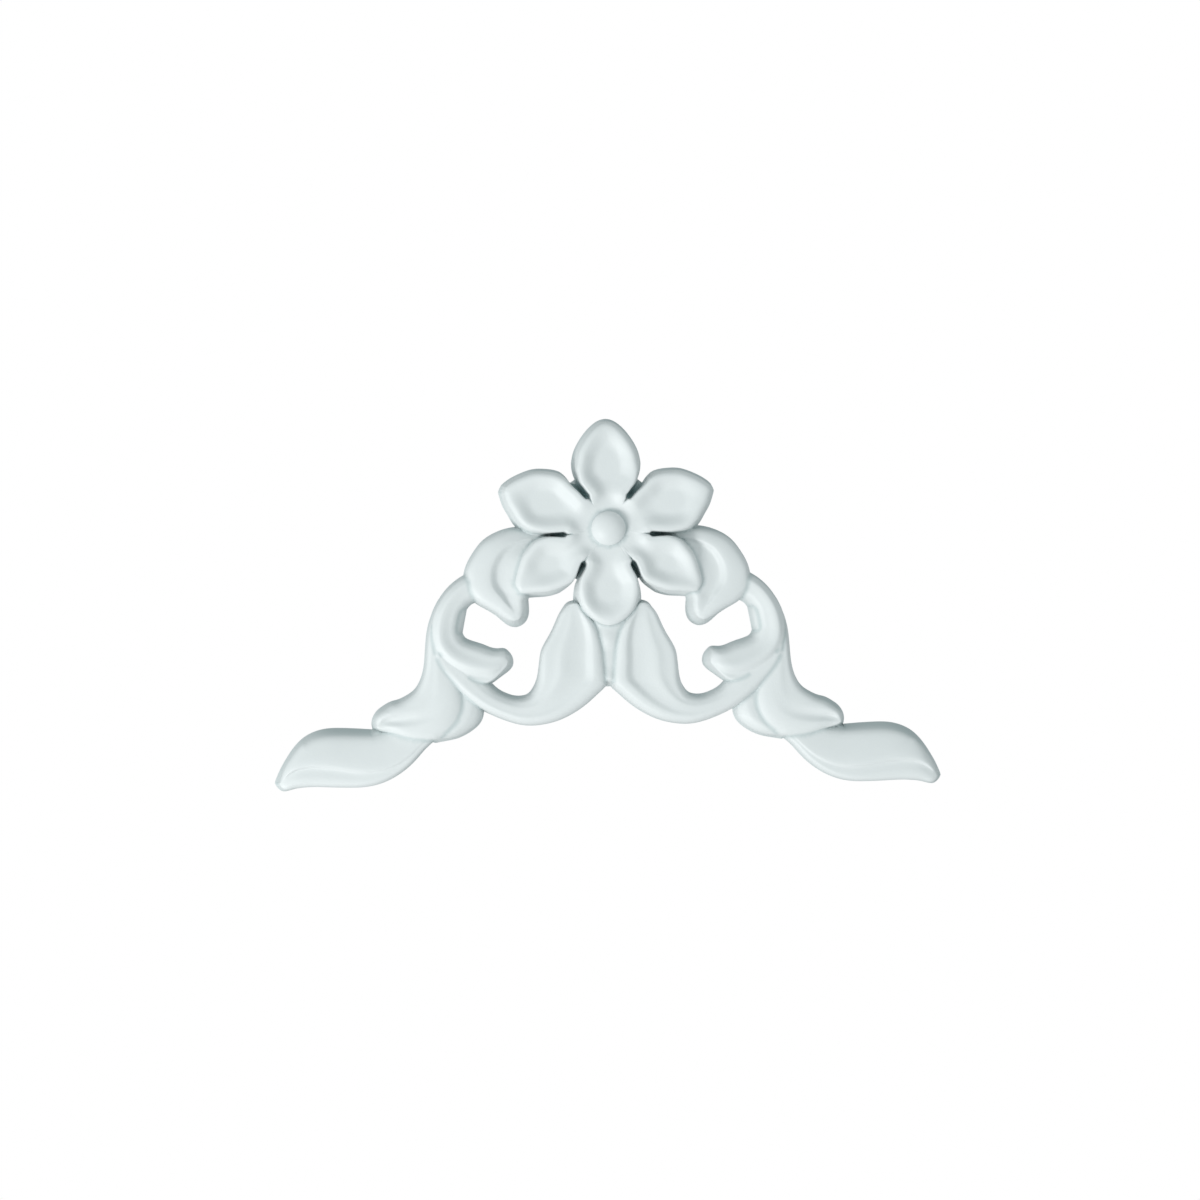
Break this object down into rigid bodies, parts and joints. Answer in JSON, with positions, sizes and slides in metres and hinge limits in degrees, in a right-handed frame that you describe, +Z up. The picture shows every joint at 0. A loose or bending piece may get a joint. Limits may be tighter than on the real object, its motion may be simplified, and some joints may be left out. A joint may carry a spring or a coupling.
{
  "type": "flexible applique",
  "caption": "Flat-backed wall applique: a petalled flower with a button centre over mirrored acanthus scrolls that step down and out to a leaf tip on each side.",
  "frame": {"origin": "centre of the flower, on the flat back face", "axes": "+X to the right along the length, +Z up, +Y into the wall: the carving faces -Y and the back is the plane y = 0"},
  "size_m": [0.125, 0.009, 0.069],
  "materials": {
    "resin": "moulded flexible resin, satin, cool white"
  },
  "bodies": {
    "root": {"applique": "resin"}
  },
  "joints": []
}
